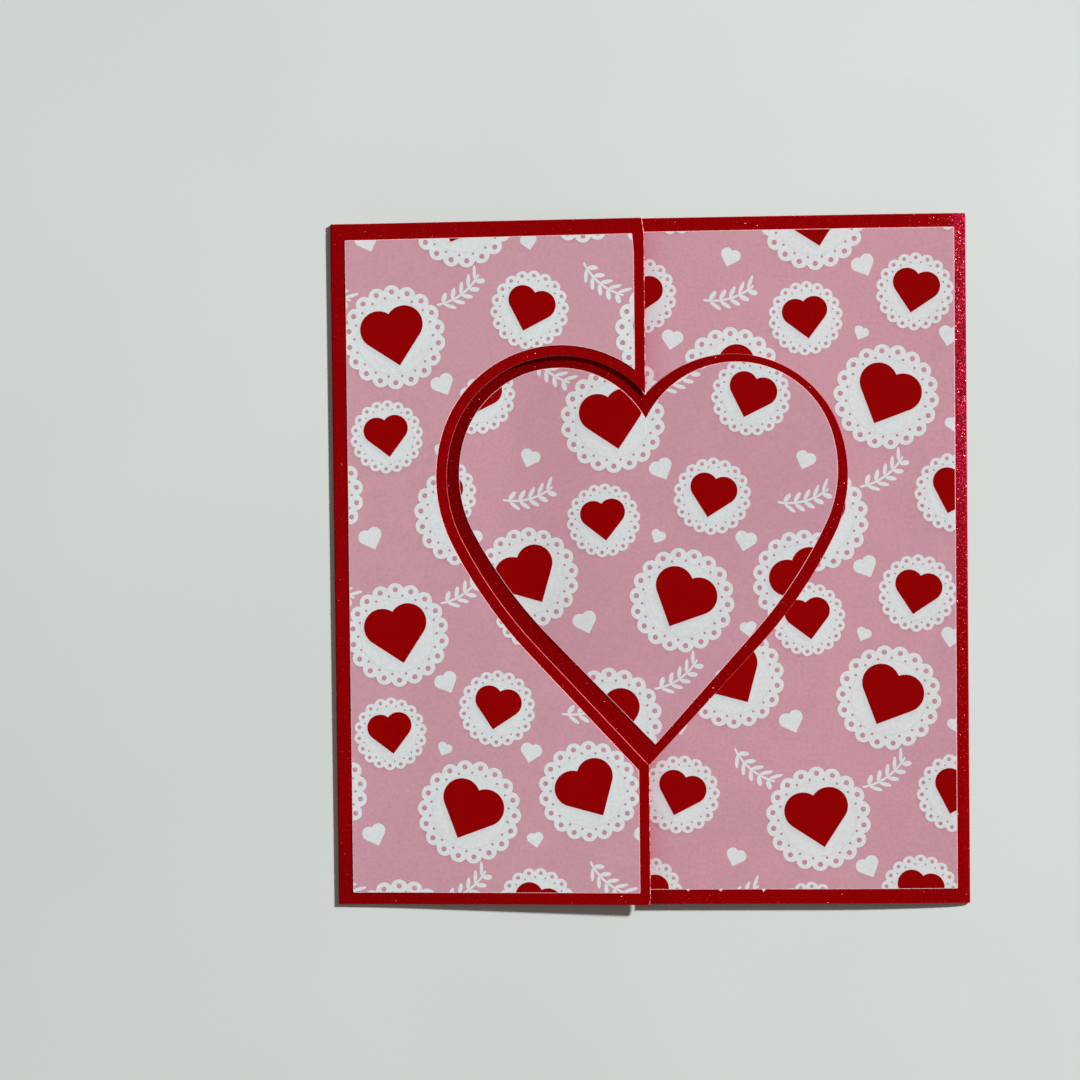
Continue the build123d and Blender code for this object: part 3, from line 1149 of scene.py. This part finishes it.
def makeMat():
    return layPiece("heartMat", "heart_mat", overHeart(wholeHeart()), "heart", paperTop,
                    "card", "redMat", "redMat")


# Printed heart: the same outline drawn smaller, glued a touch off the mat's middle
printedHeart = {"inset": 3.25, "lobeSpread": 0.6, "shift": (0.6, 0.9), "turn": 1.1, "turnCentreY": 2.0}


def makeHeartPaper():
    centre = np.array([card["seamX"], printedHeart["turnCentreY"]])
    turn = radians(printedHeart["turn"])
    points = wholeHeart(-printedHeart["inset"], printedHeart["lobeSpread"]) - centre
    rotation = np.array([[cos(turn), sin(turn)], [-sin(turn), cos(turn)]])
    points = points @ rotation + centre + printedHeart["shift"]
    return layPiece("heartPaper", "heart_paper", overHeart(points), "heart", card["stock"] + paperTop,
                    "paper", "heartPrint", "paperBack")


sheets = [makeCard(), makeLeftPaper(), makeRightPaper(), makeMat(), makeHeartPaper()]
for helper in pathObjects.values():
    bpy.data.objects.remove(helper)
print("sheets are folded and laid")


# Glitter in the red stock: small hexagons that lean every way, thicker along the scored fold

glitter = {
    "perFace": 1.5,  # flecks on a square millimetre
    "atFold": 10.5,
    "foldStart": 66.5,  # mm from the middle, where the flecks begin to thicken
    "fullBeforeFold": 3.0,  # mm
    "along": (-62.0, 30.0),  # mm up the card, over which they thicken
    "leastRise": 0.2,  # how far up a face has to look, where 1 is straight up
    "smallest": 0.055,  # radius in mm
    "largest": 0.110,
    "tilt": 19.0,  # degrees
    "lift": 0.018,  # mm
    "coverReach": (0.02, 8.0),  # mm above the stock, between which a sheet that lies there hides the flecks
    "clearOfBox": 0.25,  # mm
    "seed": 4,
    "colour": (0.262, 0.0004, 0.0012),  # as the stock, so that only the glints show
    "glint": (1.0, 0.28, 0.28),
    "specular": 1.0,
    "foldColour": (0.50, 0.0140, 0.0380),
    "toneScale": 2600.0,
    "toneSpread": 0.15,
    "paleColour": (0.95, 0.24, 0.31),
    "paleScale": 1700.0,
    "paleShare": (0.55, 0.58),
    "roughness": 0.30,
}


def glitterTree():
    tree, given = newTree("scatterGlitter", "GeometryNodeTree", {
        "Collection": ["Sheets"],
        "Material": ["Card Stock", "Mat Stock", "Finish"],
        "Float": ["Density", "Fold Density", "Fold Start", "Fold End", "Fade Start", "Fade End",
                  "Half Height", "Highest", "Smallest", "Largest", "Tilt", "Lift"],
        "Int": ["Seed"]}, {"Geometry": ["Flecks"]})
    where = outOf(tree, "GeometryNodeInputPosition")
    x, y, z = axes(tree, where)
    rise = axes(tree, outOf(tree, "GeometryNodeInputNormal"))[2]

    def either(first, second):
        return outOf(tree, "FunctionNodeBooleanMath", {0: first, 1: second}, operation="OR")

    def withStock(name):
        return outOf(tree, "GeometryNodeMaterialSelection", {0: given[name]})

    # Keeps a value of the points with them. Gives the points and the value.
    def capture(points, kind, value):
        node = addNode(tree, "GeometryNodeCaptureAttribute", {0: points})
        node.capture_items.new(kind, "Kept")
        tree.links.new(value, node.inputs[1])
        return node.outputs[:2]

    def chance(low, high, seed):
        inputs = {2: low, 3: high, "Seed": calc(tree, "ADD", given["Seed"], seed)}
        return addNode(tree, "FunctionNodeRandomValue", inputs, data_type="FLOAT").outputs[1]

    sheets = outOf(tree, "GeometryNodeCollectionInfo", {"Collection": given["Sheets"]})
    sheets = outOf(tree, "GeometryNodeRealizeInstances", {0: sheets})
    full = minus(tree, given["Fold End"], glitter["fullBeforeFold"] * mm)
    upFold = remap(tree, y, given["Fade Start"], given["Fade End"])
    nearFold = times(tree, remap(tree, x, given["Fold Start"], full), times(tree, upFold, upFold))
    more = minus(tree, given["Fold Density"], given["Density"])
    density = calc(tree, "MULTIPLY_ADD", nearFold, more, given["Density"])
    density = times(tree, density, calc(tree, "GREATER_THAN", rise, glitter["leastRise"]))
    strewn = {"Mesh": sheets, "Selection": either(withStock("Card Stock"), withStock("Mat Stock")),
              "Density": density, "Seed": given["Seed"]}
    strewn = addNode(tree, "GeometryNodeDistributePointsOnFaces", strewn, distribute_method="RANDOM").outputs
    points, out = capture(strewn["Points"], "VECTOR", strewn["Normal"])
    points, turn = capture(points, "ROTATION", strewn["Rotation"])

    rayStart, rayLength = glitter["coverReach"]
    ray = {"Target Geometry": sheets, "Ray Direction": out, "Ray Length": rayLength * mm,
           "Source Position": vectorCalc(tree, "ADD", where, scaled(tree, out, rayStart * mm))}
    covered = addNode(tree, "GeometryNodeRaycast", ray).outputs["Is Hit"]
    over = calc(tree, "GREATER_THAN", calc(tree, "ABSOLUTE", y), given["Half Height"])
    over = calc(tree, "MAXIMUM", over, calc(tree, "GREATER_THAN", z, given["Highest"]))
    past = calc(tree, "GREATER_THAN", calc(tree, "ABSOLUTE", x), given["Fold End"])
    gone = either(covered, either(over, past))
    points = outOf(tree, "GeometryNodeDeleteGeometry", {0: points, "Selection": gone}, domain="POINT")
    lifted = {0: points, "Offset": scaled(tree, out, given["Lift"])}
    points = outOf(tree, "GeometryNodeSetPosition", lifted)

    # Most flecks lean by about the tilt, fewer of them by more
    spread = times(tree, calc(tree, "LOGARITHM", chance(0.0001, 1.0, 1), 2.71828), -2.0)
    lean = times(tree, calc(tree, "SQRT", spread), given["Tilt"])
    euler = outOf(tree, "ShaderNodeCombineXYZ", {0: lean, 2: chance(0.0, 2 * pi, 2)})
    euler = outOf(tree, "FunctionNodeEulerToRotation", {0: euler})
    leaning = outOf(tree, "FunctionNodeRotateRotation", {0: turn, 1: euler}, rotation_space="LOCAL")
    fleck = outOf(tree, "GeometryNodeMeshCircle", {"Vertices": 6, "Radius": 1.0}, fill_type="NGON")
    flecks = {"Points": points, "Instance": fleck, "Rotation": leaning,
              "Scale": chance(given["Smallest"], given["Largest"], 3)}
    flecks = outOf(tree, "GeometryNodeInstanceOnPoints", flecks)
    flecks = outOf(tree, "GeometryNodeRealizeInstances", {0: flecks})
    flecks = outOf(tree, "GeometryNodeSetMaterial", {"Geometry": flecks, "Material": given["Finish"]})
    addNode(tree, "NodeGroupOutput", {0: flecks})
    return tree


def glitterFinish():
    material, tree, shader, where = newMaterial("glitter")
    share = foldShare(tree, where, glitter["along"])
    tone = wander(tree, where, glitter["toneScale"], glitter["toneSpread"], (0.35, 0.65))
    pale = patches(tree, where, glitter["paleScale"], glitter["paleShare"])
    colour = mixColour(tree, share, glitter["colour"], glitter["foldColour"])
    colour = mixColour(tree, times(tree, pale, share), colour, glitter["paleColour"])
    setInputs(tree, shader, {
        "Base Color": scaled(tree, colour, tone),
        "Metallic": share,
        "Roughness": glitter["roughness"],
        "Specular IOR Level": glitter["specular"],
        "Specular Tint": (*glitter["glint"], 1)})
    return material


def makeGlitter():
    group = bpy.data.collections.new("sheets")
    for sheet in sheets:
        group.objects.link(sheet)
    perSquareMetre = 1 / mm ** 2
    piece = link(bpy.data.objects.new("glitterFlecks", bpy.data.meshes.new("glitterFlecks")))
    runNodes(piece, glitterTree(), {
        "Sheets": group, "Card Stock": materials["redPearl"], "Mat Stock": materials["redMat"],
        "Finish": glitterFinish(), "Density": glitter["perFace"] * perSquareMetre,
        "Fold Density": glitter["atFold"] * perSquareMetre,
        "Fold Start": glitter["foldStart"] * mm,
        "Fold End": (card["width"] / 2 - glitter["clearOfBox"]) * mm,
        "Fade Start": glitter["along"][0] * mm, "Fade End": glitter["along"][1] * mm,
        "Half Height": (card["height"] / 2 - glitter["clearOfBox"]) * mm,
        "Highest": cadBox[1][2] - glitter["largest"] * mm,
        "Smallest": glitter["smallest"] * mm, "Largest": glitter["largest"] * mm,
        "Tilt": radians(glitter["tilt"]), "Lift": glitter["lift"] * mm, "Seed": glitter["seed"]})
    bpy.data.collections.remove(group)
    piece.visible_diffuse = False  # a fleck glints in the eye and throws no spot on what lies near it
    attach(piece, "root")
    print(f"glitter: {len(piece.data.polygons)} flecks")


makeGlitter()

bpy.context.scene.view_settings.view_transform = "Standard"
